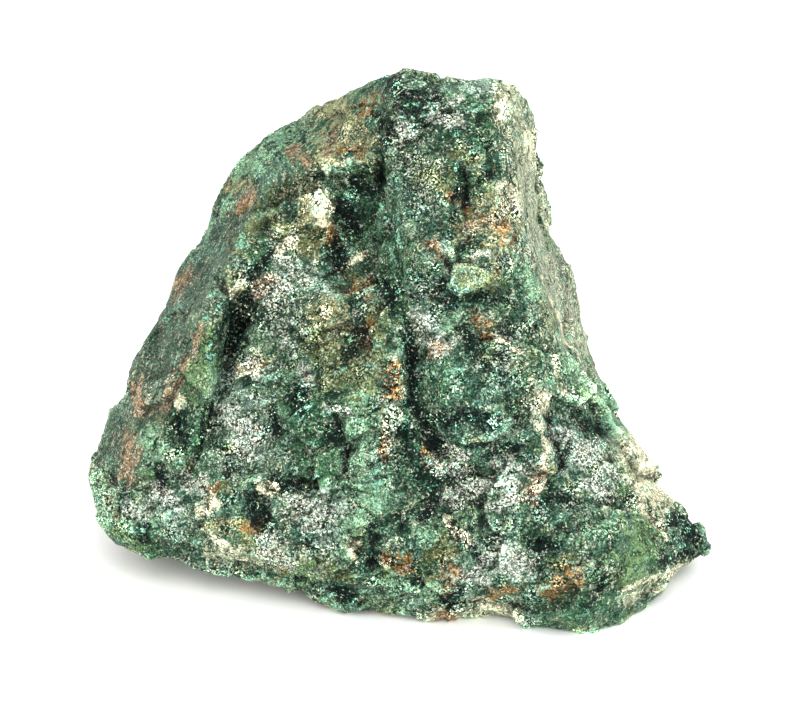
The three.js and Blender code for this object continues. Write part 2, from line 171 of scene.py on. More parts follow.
# Minerals and stains, and black patches that are partly painted shade, each a list of strips: half
# width and the line. The first six are broad grounds, and the rest lie on them as smaller ragged
# patches.
ZONES = {
    "grey": (
        (4.5, -18, 59, -24, 48, -30, 38, -35, 27, -37, 22), (3, -16.6, 44, -14.4, 38.6),
        (3.2, 2, 61, 4, 56), (1.5, 15.6, 67, 16, 58), (1.7, 20.4, 49, 22.5, 42, 25.5, 33.5),
        (1.6, 4.6, 68.4, 6.6, 66), (1.6, 0.2, 64.4, 1.6, 63.4), (1.2, -29, 9, -22, 8.4),
        (1.8, 7, 18.6, 10, 18.6), (1.2, -0.8, 33, -0.8, 24), (2, 14, 38.4, 12, 34),
    ),
    "teal": (
        (2, 12, 17, 14.4, 15.6), (2, 19.2, 16.4, 23.6, 16.4), (2.2, 8, 27.6, 14.6, 26),
        (1.8, -20, 17.6, -17, 15.8), (1.9, 1.4, 45, 6, 43.6), (2, -12, 13.4, -8, 12),
        (1.9, 35.6, 14.4, 37.8, 12), (2.4, 7, 33.6, 12.6, 32), (1.2, -1.6, 54, 0, 50),
        (1.6, -26, 19, -22, 17), (1.8, 0.6, 57, 3, 53), (1.6, 22, 30, 19.6, 27),
        (1.6, -15, 61.4, -18, 58.6), (1.4, -24, 52, -28, 43),
    ),
    "moss": (
        (3.4, -11.8, 29, -10, 25, -9, 20.8), (1.9, 1.6, 25, 2.4, 21.4), (2, 11.4, 66.4, 10.4, 63.6),
        (1.9, -0.2, 50, -0.4, 44), (1.7, -5.4, 58.4, -3.8, 56), (1.3, 22.4, 29.2, 25, 26.8),
        (2, -27.8, 27.4, -27, 25), (1.5, 12.2, 59), (2.2, 22, 4.4, 27, 7), (1.8, 17, 12.6),
        (1.7, -33.8, 13.4, -31.4, 12), (1.2, -18, 49.4, -16.8, 47.4), (1.2, 14.8, 45.4),
        (1, -23.6, 31, -25.4, 25), (1.6, -10.4, 9.4, -6.4, 8), (1.1, -3, 14, -3, 9.6),
        (1.2, 6, 36, 5, 32), (1.4, -4.6, 52, -3.6, 48), (1.2, 3.4, 4.4, 12, 6),
    ),
    "tan": (
        (2.8, -9.4, 68.4, -6, 67), (2.2, -8.6, 63, -4.4, 62), (2.2, -9, 42, -8.6, 39.6),
        (1.9, 14.2, 57, 13.2, 52, 11.6, 50.4), (1, 12.6, 46.8), (1.2, 13, 69.4, 13, 66),
        (1.4, -19, 14, -23, 14.8), (1.5, 5.8, 10.4), (1.6, -14, 50.4, -11, 49), (1.5, -20.6, 44.4),
        (1.7, -12.6, 57, -10.6, 53), (1.4, 8, 51.6, 10.4, 53), (0.8, -22, 57, -17, 60),
        (1, 33, 6.6, 37, 8.6),
    ),
    "pale_teal": (
        (3.4, -20.6, 31, -18.4, 24.6), (1.2, -12.8, 47.2, -9.6, 44.2), (2.5, -9.8, 17, -7.4, 14),
        (2, -33.4, 16.4, -31, 15.6), (1.6, 17.4, 50, 19.4, 44, 21.6, 38), (1.4, 3.6, 41.6, 4.4, 39),
        (3, 22.6, 24, 27.6, 21), (3, 14, 9.8, 9.6, 8), (1.1, 19, 42, 22, 36), (1.6, -30, 15, -28.4, 14),
        (1.2, 14, 20.4, 17, 22.4), (1.2, 8.6, 71, 12, 70), (1.6, -22, 22.6, -20, 21.4),
        (1.2, 0.6, 6.2, 3, 5.6),
    ),
    "straw": (
        (2.6, 15.6, 69.6, 16.4, 62, 17.6, 54, 20, 45.4, 22.4, 38.4, 25, 33),
        (3, 30.4, 24, 31.6, 22, 33, 18), (0.9, -24, 10.8, -12, 9.4), (1.2, -38.6, 20, -37.4, 16),
        (0.7, 29, 4.6, 37, 8.8), (1, 18.4, 31, 17.8, 27.6), (0.6, 18.8, 25, 18, 22),
        (0.2, -12, 59.6, -5, 60.6), (1.2, -11, 56.6, -9.8, 53.4), (1, 13.4, 70, 13.2, 66),
        (1, 4, 2.6, 15, 2.8),
    ),
    "salmon": (
        (1, -13.4, 62.6, -11.6, 60.6), (0.9, -20.4, 54.4, -18.6, 57), (1.1, -28.6, 44.4, -26.4, 46.6),
        (0.9, -24.6, 39.6, -27.8, 33, -30.6, 28), (1, -33.8, 32, -32.6, 29),
        (1.5, -34.6, 25, -34.2, 20), (0.4, -37, 17.6, -36, 15.6), (1, 4.4, 49.6, 5.6, 48.4),
        (1, 9, 52.4, 12.6, 53), (0.9, 5.4, 37, 4, 36), (0.8, -7.6, 65, -9, 62),
        (1, 16.6, 19.6, 18.6, 21.4), (0.9, 6.4, 8.6, 5.8, 6.2), (0.7, -1, 27, -1.4, 24),
        (1.1, 5.8, 3, 7, 2.4), (0.9, -18, 43.6, -16.8, 45),
    ),
    "olive": (
        (1.9, 4.2, 58.6, 6.2, 57.4), (1.6, -11.2, 50.2, -8.6, 51.6), (1.3, -6.2, 46.6),
        (2, -10.6, 37.6, -8.4, 36.4), (1.2, 7.6, 61.2, 10.4, 59.6), (1.3, -19, 12, -20, 15),
        (1.6, 4.4, 10.6, 6.6, 11.6), (1.2, -10, 9, -6.6, 8.4), (1, 22.6, 11, 20, 9.4),
        (1.3, 8, 46, 12, 45.2), (1, -4.8, 14, -5.4, 11, -5.8, 10), (3.2, -7, 35, -4.6, 31),
        (0.8, -24.4, 19.4, -22.2, 19), (1.2, -16.4, 53.4, -14.4, 52.2), (1.4, -3, 41, -3.4, 36),
        (0.9, 18.4, 43, 20, 40), (1.2, -16, 56, -20, 50), (1.2, 11, 38.6, 12, 36),
    ),
    "mint": (
        (1.9, -4.6, 29, -4.6, 25, -4.2, 20.4), (1.4, -3.2, 18.4, -5.8, 15, -6, 11.4),
        (0.7, -12.8, 46.4, -11, 45.2, -9, 43.8, -7.2, 43.4), (1.9, -39, 20.4, -38.2, 16.6, -36.8, 14.2),
        (1, -0.8, 7.4, 1.6, 6.4, 3.6, 6), (2.2, 26.6, 22, 28.8, 21.6), (1.4, -17.6, 61.6, -19.6, 60),
        (1.2, -13.4, 64.4, -15.6, 63.8), (1.2, 2.2, 13.8, 3.4, 13), (1, -31.4, 26, -31.4, 21),
        (1.2, 16, 46.6, 17.6, 44.4), (0.5, -22, 56, -25, 51), (1, 10, 39, 6, 40), (1, -2.6, 8, -1.4, 6),
        (1, 24.4, 13.4, 27, 14.4), (1.2, -33, 17, -31, 14),
        (2.9, 21.6, 34.6, 24, 31.6, 27, 28.6, 29, 26),
    ),
    "bright": (
        (1.7, -23.6, 38.4, -24.8, 34.4, -26, 31), (0.9, 23.4, 31.6, 26, 28.6),
        (2.4, 28.6, 9.2, 31.6, 11.8, 30.4, 13.6), (1.3, -13.4, 9.2, -11.4, 8.6),
        (1.2, 29.6, 22.6, 29, 19), (0.9, 19.6, 50.6, 20.6, 52), (1.2, -33, 11.8, -36, 13.4),
        (0.9, -1.2, 8.4), (0.9, -31, 20.6, -33, 17.6), (1.2, 31, 7.2, 27.4, 7.4),
    ),
    "pale": (
        (0.8, -17.4, 10.8, -13.6, 9.6), (1.2, 11.4, 10, 8.6, 8), (1.8, 30.6, 23.6, 32.2, 21, 33.4, 18),
        (2.1, -12.4, 16.4, -9, 15.6), (1.2, -20.4, 34, -18.4, 34.6), (1.2, -34, 16.4, -32, 16),
        (1.4, -15.9, 11.9), (1.1, 5.6, 22, 8.4, 21.7), (1.2, 9.6, 19.2, 11.6, 19.8),
        (1.2, 6, 17.8, 8.4, 18.4), (2, 24.2, 23.2, 26.4, 22), (1.3, 24.4, 19.8, 26.4, 18.4),
        (1.7, 13.4, 10.4, 15.4, 9.4), (1.6, 9.4, 8.6, 10.6, 7.2), (1, 20.4, 26.2, 21.6, 25.6),
        (1, 4.6, 66.6, 7.6, 65.8), (1, 0.8, 64.6, 1.4, 63.4), (0.8, 7.4, 68.6),
        (0.8, -15, 47.8, -12.2, 45.6, -8.6, 43.8), (1.4, -18.6, 25.4, -19.6, 23.6),
        (0.8, -11.6, 33, -11.9, 34), (1.2, -22, 29, -19, 27), (0.9, -14.2, 15.6, -13, 17),
        (1, 14, 22.6, 15.6, 21.6), (1.6, -16.4, 43.4, -15.2, 45), (1.2, 4.2, 37.6, 6, 37),
        (0.8, -8.6, 29.4, -6.6, 28.4), (0.8, 6.6, 24, 8.4, 23.4), (0.9, 11.6, 16.4, 16.4, 18.4),
        (0.9, 12.4, 22.4, 14.4, 19.6), (1, -26.6, 19.2, -24.6, 19.4), (1, 2.6, 41, 3.4, 39.4),
        (0.4, 9.4, 48.6, 11.4, 48.4), (1, -31, 19, -28, 17), (0.5, -14, 40, -15, 36.6),
    ),
    # Nearly black jade, and painted shade laid along the cracks, clefts, hollows and the shaded sides
    # of the ledges
    "dark": (
        (2.3, 0.2, 70.8, 1.2, 69, 2.6, 67.4), (0.6, -1.4, 66, -1.9, 62, -2.2, 57.4),
        (0.7, -2.6, 66.4, -1, 65), (1, -5.4, 57.8, -3.6, 57), (1.4, -7, 54.4, -6, 52),
        (1.3, -7.8, 49.6, -7.2, 47), (2.3, -20.2, 41.6, -20.2, 39.6, -21.6, 37),
        (0.9, -17, 48.6, -18.6, 46, -19, 43), (0.5, -23.6, 29.8, -25, 25),
        (1.4, -27.8, 27.4, -27.2, 25.6), (0.9, -30.4, 21.4, -29.8, 19), (1.2, -12.6, 31.6, -13, 29.6),
        (0.8, -15.8, 29, -15.4, 25), (0.9, -8.2, 28.2, -7.6, 25), (1.2, -15.2, 19.6, -11.6, 18.8),
        (1.2, -18.6, 18.4, -17.4, 15.6), (0.8, 1.4, 40, 1.7, 35, 2, 30, 3.8, 26.6), (1, -21.6, 21.4),
        (1.5, 5, 20.4, 4.5, 18.4, 4.6, 16), (1.2, 1.4, 26, 1.8, 23.4, 3, 21), (1, -6.4, 36, -4, 39),
        (0.5, 9.2, 43.4, 12.6, 43), (1, 8.2, 39, 9.6, 37), (0.6, 6, 20.5, 10, 20.7),
        (1.2, -1.4, 44, -0.6, 42), (0.9, 4.4, 28, 8, 28.4, 12, 27.4), (0.4, 19, 28, 19.6, 25, 20.6, 22),
        (1, 5.4, 44.6, 7, 42.6), (0.9, 18.6, 17.4, 22.4, 17.6), (1.1, 17, 12, 20, 12),
        (0.5, 26, 17, 27.6, 17.8), (1, 17.6, 9.6), (1.4, 36, 15, 38.4, 12.4), (0.9, 34, 9.6, 38, 10.4),
        (0.9, -8.4, 6, -6.6, 5.4), (1, 24, 5, 26, 7.4), (1.1, 8, 58.8, 8.2, 55.6), (1.3, 12.2, 59),
        (0.6, -31.4, 38.8), (1, -32.6, 12.4, -32.4, 14), (0.9, 23.6, 27.4, 25.8, 26),
        (0.5, 9.4, 11.2, 11, 9.4), (0.9, 6, 4.8, 8, 6), (0.9, -3, 13.4, -3.2, 10),
        (0.9, 6, 24.2, 4.8, 25), (0.8, 14.4, 24, 16.4, 23),
    ),
    "rust": (
        (1.3, -5.6, 44.8, -4.8, 45), (0.9, -4.2, 67, -2.4, 68.8), (0.8, -13.4, 61.4),
        (0.5, -7.2, 61.8, -5, 62), (0.6, -20.6, 54.2, -19.4, 55.8), (0.6, -28, 45.6, -26.4, 46.2),
        (0.8, -34.6, 23.4), (0.9, -9, 52, -8, 50.4), (0.8, -3.4, 40, -4.4, 37.4),
        (0.9, 10, 40.6, 10.8, 40), (0.8, 4.8, 49.4), (1, 12.6, 52.6, 14, 51),
        (0.9, -0.3, 34.4, -0.5, 31), (0.6, -1.5, 24.8, -1.2, 23.4), (0.6, 3.6, 25, 3.8, 22.4),
        (0.8, 15.6, 17.8, 16.6, 17.4), (0.9, 11, 38), (1, -1.2, 10.2, 1.6, 9.4),
        (0.8, 6.6, 8.8, 7.9, 8.2), (1.2, 5.6, 3.4, 6, 2.6), (1.2, 19, 5.8, 22.2, 8),
        (0.9, 12, 5.4, 14, 6.2), (0.8, -19.6, 14, -17.8, 14.4), (0.7, -14.6, 9.2),
        (0.6, 8.6, 54.4, 7.4, 55.4), (0.6, -24, 18.6, -23.2, 19), (0.6, -18.6, 35.4, -17, 35),
        (0.9, 7, 56),
    ),
    "cream": (
        (0.6, -21.4, 44.2, -20.2, 45), (0.7, -28.4, 31, -27.8, 29.6), (0.7, -15.4, 49.3, -13, 49.9),
        (0.7, -8.6, 54.4, -9.6, 52.6), (0.7, -5.8, 47.6, -4.2, 48.8), (0.4, -9.4, 41.6, -8.6, 40.8),
        (0.9, -20, 34.4, -18.6, 34.4), (0.8, -24.6, 16.4, -23.8, 17.2), (0.7, -17.6, 18.8, -15.6, 19),
        (0.3, 13.4, 70.4, 13, 66), (0.8, 17.4, 64.4, 17.7, 60.4), (0.8, 14, 57.4, 14.4, 55),
        (0.2, 17.8, 47, 19.6, 42.6, 21.8, 37.4, 24, 33.6), (0.1, 13, 51.4, 14, 50.8),
        (0.2, 9.6, 48.4, 10.8, 49), (0.6, 18.6, 30.6, 17.8, 28.4),
        (0.35, 17.6, 27.4, 18.6, 24.6, 18.4, 22.4, 19.2, 21.2), (1, 18, 20.4, 16.2, 19.4),
        (0.4, 19.8, 36, 20.4, 33, 21.4, 31), (2.4, 30.6, 23.6, 32.2, 21, 33.4, 18),
        (0.4, 30.8, 16.8, 33, 14.4, 34.2, 12.4), (0.3, 28, 5.6, 31.6, 7, 36, 8.6),
        (0.8, 10.6, 4.2, 13.6, 3.8), (0.5, -23.4, 12.4, -21.6, 11.4), (0.4, 16.6, 33, 18.6, 31),
        (0.4, -12.8, 11), (0.5, 6, 15.6, 7.6, 13.4, 8.8, 12), (0.5, 15.4, 36.4, 12.4, 38),
        (0.6, -5.4, 12.4, -5.2, 10),
    ),
    "turquoise": (
        (0.6, -2.9, 24.4, -2.8, 22, -2.6, 19.6), (0.25, -1.9, 54.6, -0.8, 52.6, 0, 51), (0.1, 5, 33.2),
        (0.3, -10.8, 45.2, -9.4, 44.2),
    ),
}

# How light the stone is on the whole, from 0 to 1, and how strongly its tone lightens and
# darkens the minerals
MIDDLE_TONE = 0.485
TONE_STRENGTH = 2.1

# How each mineral wanders over the sides that the lists above leave out:
# (size of its patches in millimetres, level that they rise above)
WANDERING = {
    "grey": (13, 0.05), "teal": (9, 0.25), "moss": (11, 0.15), "tan": (8, 0.4),
    "pale_teal": (9, 0.3), "straw": (7, 0.5), "salmon": (6, 0.45), "olive": (8, 0.3),
    "mint": (7, 0.35), "bright": (8, 0.45), "pale": (4.5, 0.4), "dark": (4.5, 0.35),
    "rust": (4, 0.55), "cream": (4, 0.55), "turquoise": (5, 0.75),
}

FIRST_ZONE_SEED = 40
# How sharply each kind of patch starts at its border
WILD_EDGE = 3
STREAK_EDGE = 2.5
SMOOTH_EDGE = 2

# How each mineral is laid on, from the lowest: (cover, raggedness, softness of its edge)
LAYERS = {
    "grey": (0.85, 4, 0.15), "tan": (0.8, 5, 0.12), "teal": (0.9, 5, 0.1), "moss": (0.9, 5, 0.1),
    "pale_teal": (0.85, 5, 0.15), "straw": (0.85, 9, 0.25), "olive": (0.75, 5, 0.14),
    "mint": (0.85, 5, 0.1), "bright": (0.85, 4, 0.2), "rust": (0.85, 5, 0.25),
    # Nearly black jade, and painted shade in the cracks and hollows
    "shadow": (0.8, 4, 0.14), "milky": (0.6, 3.6, 0.12), "cream": (0.95, 3.4, 0.12),
    "turquoise": (0.85, 6, 0.1), "salmon": (0.75, 7, 1),
}
# Minerals whose zone has another name, and those that follow streaks
ZONE_OF = {"shadow": "dark", "milky": "pale"}
FOLLOWS = {"straw": "edge_streaks", "salmon": "left_streaks"}

# Streaks of the rock's grain: (turn in degrees, squeeze along them, scale, strength)
STREAK_LINES = {
    "left_streaks": (-62, 0.16, 1.5, 1.3),
    "edge_streaks": (-100, 0.14, 2.0, 0.9),
    "foot_bands": (-22, 0.22, 0.9, 0.9),
    "toe_bands": (22, 0.22, 1.2, 0.9),
}
# Where the streaks run, and where the stone is smoother: strips as above
STREAKS = {
    "left_streaks": (
        (6, -13, 64, -20, 56, -26.6, 44, -31.6, 32, -35, 24), (4, -9, 66, -4, 69),
    ),
    "edge_streaks": (
        (2.8, 15, 70, 15.8, 62, 16.4, 54, 18.8, 46, 21.8, 37.6, 26, 30), (2.4, 31, 23, 34, 17),
    ),
    "foot_bands": (
        (8, 12, 31, 13, 22, 24, 20, 29, 14), (6, 16, 8, 28, 6),
    ),
    "toe_bands": (
        (3.6, -34, 12, -22, 10.4, -8, 6.6, 6, 4),
    ),
}
SMOOTH = (
    (5.6, -13, 64, -20, 56, -26.6, 44, -31.6, 32, -35, 24), (3.2, -9, 66, -4, 69),
    (2, 15.4, 68, 16, 58, 18.6, 46, 21.4, 37), (3, 27.6, 28, 31, 23, 34, 17),
    (2, 20.4, 50, 22.6, 43, 25.4, 33), (3.6, 20, 3.4, 27, 4, 30.4, 10, 30, 13), (2, -24, 38, -25.6, 31),
)


def select_only(piece):
    """Leaves one object selected and active."""
    bpy.ops.object.select_all(action="DESELECT")
    piece.select_set(True)
    bpy.context.view_layer.objects.active = piece


def apply_all_modifiers(piece):
    select_only(piece)
    for name in [modifier.name for modifier in piece.modifiers]:
        bpy.ops.object.modifier_apply(modifier=name)


def places_of(mesh):
    """Vertex places in metres, one row each."""
    found = np.empty(len(mesh.vertices) * 3, np.float32)
    mesh.vertices.foreach_get("co", found)
    return found.reshape(-1, 3).astype(float)


def normals_of(mesh):
    found = np.empty(len(mesh.vertices) * 3, np.float32)
    mesh.vertex_normals.foreach_get("vector", found)
    return found.reshape(-1, 3).astype(float)


def edges_of(mesh):
    found = np.empty(len(mesh.edges) * 2, np.int32)
    mesh.edges.foreach_get("vertices", found)
    return found.reshape(-1, 2)


def put_places(mesh, places):
    mesh.vertices.foreach_set("co", places.astype(np.float32).ravel())
    mesh.update()


def mark(mesh, name, values):
    """Keeps one number for each vertex under a name."""
    layer = mesh.attributes.new(name, "FLOAT", "POINT")
    layer.data.foreach_set("value", values.astype(np.float32))


def spread(values, edges, rounds):
    """Averages each vertex with its neighbours, a number of times."""
    values = values.copy()
    count = len(values)
    ends = np.concatenate((edges[:, 0], edges[:, 1]))
    others = np.concatenate((edges[:, 1], edges[:, 0]))
    share = np.bincount(ends, minlength=count).clip(1)[:, None]
    for _ in range(rounds):
        total = np.stack(
            [np.bincount(ends, values[others, k], minlength=count) for k in range(values.shape[1])],
            axis=1,
        )
        values = 0.5 * values + 0.5 * total / share
    return values


def on_the_face(places):
    """Places in metres to (across, up) on the leaning face, in millimetres."""
    drawn = places / MM / BLOCK_SCALE + BLOCK_SHIFT
    return np.stack((drawn @ ACROSS, drawn @ UP), axis=1)


def facing_front(normals, steepness, level):
    """1 where the surface faces the front, falling to 0 where it turns away."""
    return np.clip(normals @ OUT * steepness + level, 0, 1)


def hash_noise(corner, seed):
    """A random number from -1 to 1 for each whole-number corner of a grid."""
    x, y, z = (corner[:, k].astype(np.int64) for k in range(3))
    mixed = (x * 374761393 + y * 668265263 + z * 2147483647 + seed * 974634777) & 0xFFFFFFFF
    mixed = ((mixed ^ (mixed >> 13)) * 1274126177) & 0xFFFFFFFF
    mixed = ((mixed ^ (mixed >> 16)) * 2246822519) & 0xFFFFFFFF
    return (mixed ^ (mixed >> 15)) / 2147483648.0 - 1.0


def soft_noise(places, size, seed):
    """Smooth noise from -1 to 1 whose bumps are about size apart, in the units of places."""
    grid = places / size
    base = np.floor(grid)
    part = grid - base
    part = part * part * (3 - 2 * part)
    total = np.zeros(len(places))
    for dx in (0, 1):
        for dy in (0, 1):
            for dz in (0, 1):
                weight = np.ones(len(places))
                for k, step in enumerate((dx, dy, dz)):
                    weight = weight * (part[:, k] if step else 1 - part[:, k])
                total += weight * hash_noise(base + (dx, dy, dz), seed)
    return total


def waver(places, size, seed):
    """A sideways wobble for places on the face, so that no line on it runs straight."""
    return np.stack([soft_noise(places / MM, size, seed + k) for k in range(2)], 1)


def to_line(face, line):
    """Distance of each face place to a line, its side (left is +) and its share along."""
    points = np.reshape(line, (-1, 2)).astype(float)
    if len(points) == 1:
        gap = np.linalg.norm(face - points[0], axis=1)
        return gap, np.ones(len(face)), np.full(len(face), 0.5)
    lengths = np.linalg.norm(np.diff(points, axis=0), axis=1)
    starts = np.concatenate(((0.0,), np.cumsum(lengths)))
    nearest = np.full(len(face), np.inf)
    side = np.ones(len(face))
    along = np.zeros(len(face))
    for k, length in enumerate(lengths):
        run = (points[k + 1] - points[k]) / length
        offset = face - points[k]
        share = np.clip(offset @ run, 0, length)
        gap = np.linalg.norm(offset - share[:, None] * run, axis=1)
        closer = gap < nearest
        nearest[closer] = gap[closer]
        side[closer] = np.sign(run[0] * offset[closer, 1] - run[1] * offset[closer, 0])
        along[closer] = (starts[k] + share[closer]) / starts[-1]
    return nearest, side, along


def slope(gap, reach):
    """1 at no distance, falling straight to 0 at reach."""
    return np.clip(1 - gap / reach, 0, 1)


def fade(gap, reach):
    """1 at no distance, falling smoothly to 0 at reach."""
    left = slope(gap, reach)
    return left * left * (3 - 2 * left)


def ends_taper(along):
    """0 at both ends of a line, and 1 along all but the last sixth at each end."""
    return np.clip(np.minimum(along, 1 - along) * 6, 0, 1)


def relief(face):
    """Height in millimetres that the ledges, cracks and swells add to the face."""
    height = np.zeros(len(face))
    for step, high_reach, low_reach, *line in LEDGES.values():
        gap, side, along = to_line(face, line)
        high = LIFTED * step * slope(gap, high_reach)
        low = -LOWERED * step * slope(gap, low_reach)
        height += np.where(side > 0, high, low) * ends_taper(along)
    for half_width, depth, *line in CRACKS.values():
        gap, _, along = to_line(face, line)
        height -= depth * fade(gap, half_width * CRACK_REACH) * ends_taper(along)
    for rise, middle, half_size in SWELLS.values():
        gap = np.linalg.norm((face - middle) / half_size, axis=1)
        height += rise * fade(gap, SWELL_REACH)
    return height


def strips(face, zone):
    """How deep each place is inside a zone: 1 on a strip's line, 0 at its edge, at least -1."""
    depth = np.full(len(face), -1.0)
    for half_width, *line in zone:
        gap, _, _ = to_line(face, line)
        depth = np.maximum(depth, 1 - gap / half_width)
    return depth


def add_node(tree, kind, links=None, **settings):
    """Adds a node. links sets its inputs: a socket is joined, anything else is a value."""
    node = tree.nodes.new(kind)
    for name, value in settings.items():
        setattr(node, name, value)
    for key, value in (links or {}).items():
        socket = node.inputs[key]
        if isinstance(value, bpy.types.NodeSocket):
            tree.links.new(value, socket)
        else:
            socket.default_value = value
    return node


def calc(tree, operation, first, second=0.0, third=0.0, clamp=False):
    node = add_node(tree, "ShaderNodeMath", {0: first, 1: second, 2: third},
                    operation=operation, use_clamp=clamp)
    return node.outputs[0]


def centred(tree, value):
    """A 0 to 1 pattern moved to lie around 0."""
    return calc(tree, "SUBTRACT", value, 0.5)


def weighed_sum(tree, start, parts):
    """The start, with each part's value added at its weight."""
    for value, weight in parts:
        start = calc(tree, "MULTIPLY_ADD", value, weight, start)
    return start


def vector_calc(tree, operation, first, second=(0, 0, 0)):
    node = add_node(tree, "ShaderNodeVectorMath", {0: first}, operation=operation)
    if operation == "SCALE":
        add_to, value = node.inputs["Scale"], second
    else:
        add_to, value = node.inputs[1], second
    if isinstance(value, bpy.types.NodeSocket):
        tree.links.new(value, add_to)
    else:
        add_to.default_value = value
    return node.outputs["Value" if operation == "DOT_PRODUCT" else "Vector"]


def noise(tree, place, scale, detail=2.0, rough=0.55):
    node = add_node(tree, "ShaderNodeTexNoise",
                    {"Vector": place, "Scale": scale, "Detail": detail, "Roughness": rough})
    return node.outputs["Fac"]


def bend(tree, place, scale, detail, amount):
    """Pushes places about by up to half the amount, in bumps of one over the scale."""
    node = add_node(tree, "ShaderNodeTexNoise",
                    {"Vector": place, "Scale": scale, "Detail": detail})
    push = vector_calc(tree, "SUBTRACT", node.outputs["Color"], (0.5, 0.5, 0.5))
    return vector_calc(tree, "ADD", place, vector_calc(tree, "SCALE", push, amount))


def cells(tree, place, scale):
    return add_node(tree, "ShaderNodeTexVoronoi", {"Vector": place, "Scale": scale})


def channel(tree, colour, which=0):
    return add_node(tree, "ShaderNodeSeparateXYZ", {0: colour}).outputs[which]


def step_up(tree, value, low, high, to_low=0.0, to_high=1.0):
    node = add_node(tree, "ShaderNodeMapRange",
                    {0: value, 1: low, 2: high, 3: to_low, 4: to_high},
                    interpolation_type="SMOOTHSTEP")
    return node.outputs[0]


def blend(tree, share, first, second, kind="MIX"):
    node = add_node(tree, "ShaderNodeMix", {0: share, 6: first, 7: second},
                    data_type="RGBA", blend_type=kind)
    return node.outputs[2]


def attribute(tree, name):
    return add_node(tree, "ShaderNodeAttribute", attribute_name=name).outputs["Fac"]


def new_tree(name, kind, inputs, outputs):
    """An empty node group with named sockets: (name, socket type, default)."""
    tree = bpy.data.node_groups.new(name, kind)
    for label, socket, default in inputs:
        made = tree.interface.new_socket(label, in_out="INPUT", socket_type=socket)
        if default is not None:
            made.default_value = default
    for label, socket in outputs:
        tree.interface.new_socket(label, in_out="OUTPUT", socket_type=socket)
    return tree, tree.nodes.new("NodeGroupInput"), tree.nodes.new("NodeGroupOutput")


def layered_place(tree, place):
    """Bends places, and squeezes them so that chips come out longer along the rock's layers."""
    bent = bend(tree, place, scale=0.35, detail=4.0, amount=1.6)
    turned = add_node(tree, "ShaderNodeVectorRotate",
                      {"Vector": bent, "Axis": (0.3, 1.0, 0.2), "Angle": LAYER_TURN})
    return vector_calc(tree, "MULTIPLY", turned.outputs[0], LAYER_SQUEEZE), bent


def chips(tree, place, size, tilt, offset):
    """Flat chips about size across, each with its own tilt and level: their height and colour."""
    cell = cells(tree, place, 1 / size)
    centre = vector_calc(tree, "SUBTRACT", place, cell.outputs["Position"])
    lean = vector_calc(tree, "SUBTRACT", cell.outputs["Color"], (0.5, 0.5, 0.5))
    rise = vector_calc(tree, "DOT_PRODUCT", centre, lean)
    level = centred(tree, channel(tree, cell.outputs["Color"]))
    height = calc(tree, "MULTIPLY_ADD", rise, tilt, calc(tree, "MULTIPLY", level, offset))
    return height, cell.outputs["Color"]


def broken_surface_tree(sizes):
    """Geometry nodes that chip the whole surface at several scales and leave it crumbly."""
    tree, inward, outward = new_tree(
        "Broken surface", "GeometryNodeTree",
        [("Geometry", "NodeSocketGeometry", None)], [("Geometry", "NodeSocketGeometry")],
    )
    position = tree.nodes.new("GeometryNodeInputPosition").outputs[0]
    normal = tree.nodes.new("GeometryNodeInputNormal").outputs[0]
    calm = add_node(tree, "GeometryNodeInputNamedAttribute", {"Name": "smooth"}).outputs[0]
    place = vector_calc(tree, "SCALE", position, 1 / MM)
    layered, bent = layered_place(tree, place)
    small_tilt = sizes.chip_tilt * 0.7
    slab = chips(tree, bent, SLAB, sizes.chip_tilt, offset=0.3)[0]
    rough = chips(tree, layered, CHIP, small_tilt, offset=0.15)[0]
    crystals = chips(tree, layered, CRYSTAL, small_tilt, offset=0.1)[0]
    rough = calc(tree, "ADD", rough, crystals)
    crumbs = centred(tree, noise(tree, place, scale=1.3, detail=3.0, rough=0.7))
    rough = calc(tree, "MULTIPLY_ADD", crumbs, sizes.crumb_height / MM, rough)
    height = calc(tree, "MULTIPLY_ADD", rough, calc(tree, "MULTIPLY_ADD", calm, -0.7, 1.0), slab)
    height = calc(tree, "ADD", height, sizes.skin / MM)
    move = vector_calc(tree, "SCALE", normal, calc(tree, "MULTIPLY", height, MM))
    moved = add_node(tree, "GeometryNodeSetPosition",
                     {"Geometry": inward.outputs[0], "Offset": move})
    tree.links.new(moved.outputs[0], outward.inputs[0])
    return tree


class JadeSizes(bpy.types.PropertyGroup):
    """Sizes of the broken surface."""

    coarse_voxel: FloatProperty(
        name="Coarse cell", description="Cell size while the ledges are cut",
        default=0.0005, min=0.0003, unit="LENGTH")
    fine_voxel: FloatProperty(
        name="Fine cell", description="Cell size of the finished surface",
        default=0.00036, min=0.0003, unit="LENGTH")
    chip_tilt: FloatProperty(
        name="Chip tilt", description="How steeply the flat chips lie to the surface",
        default=0.24, min=0, max=1)
    kept_share: FloatProperty(
        name="Kept share", description="Share of the faces kept where the surface is flat",
        default=0.62, min=0.1, max=1, subtype="FACTOR")
    crumb_height: FloatProperty(
        name="Crumb height", description="Height of the crumbly grain",
        default=0.0001, min=0, unit="LENGTH")
    skin: FloatProperty(
        name="Skin", description="Thickness added to make up for the rounding of the corners",
        default=0.0003, min=0, unit="LENGTH")
    # How far the painted shade of the hollows and the painted highlight of the edges reach
    hollow_rounds: IntProperty(
        name="Hollow rounds", description="How widely hollows and edges are felt", default=20,
        min=1)


def mineral(name, description, red, green, blue):
    """A colour that can be set in the panel."""
    return FloatVectorProperty(name=name, description=description, subtype="COLOR", size=4,
                               default=(red, green, blue, 1), min=0, max=1)


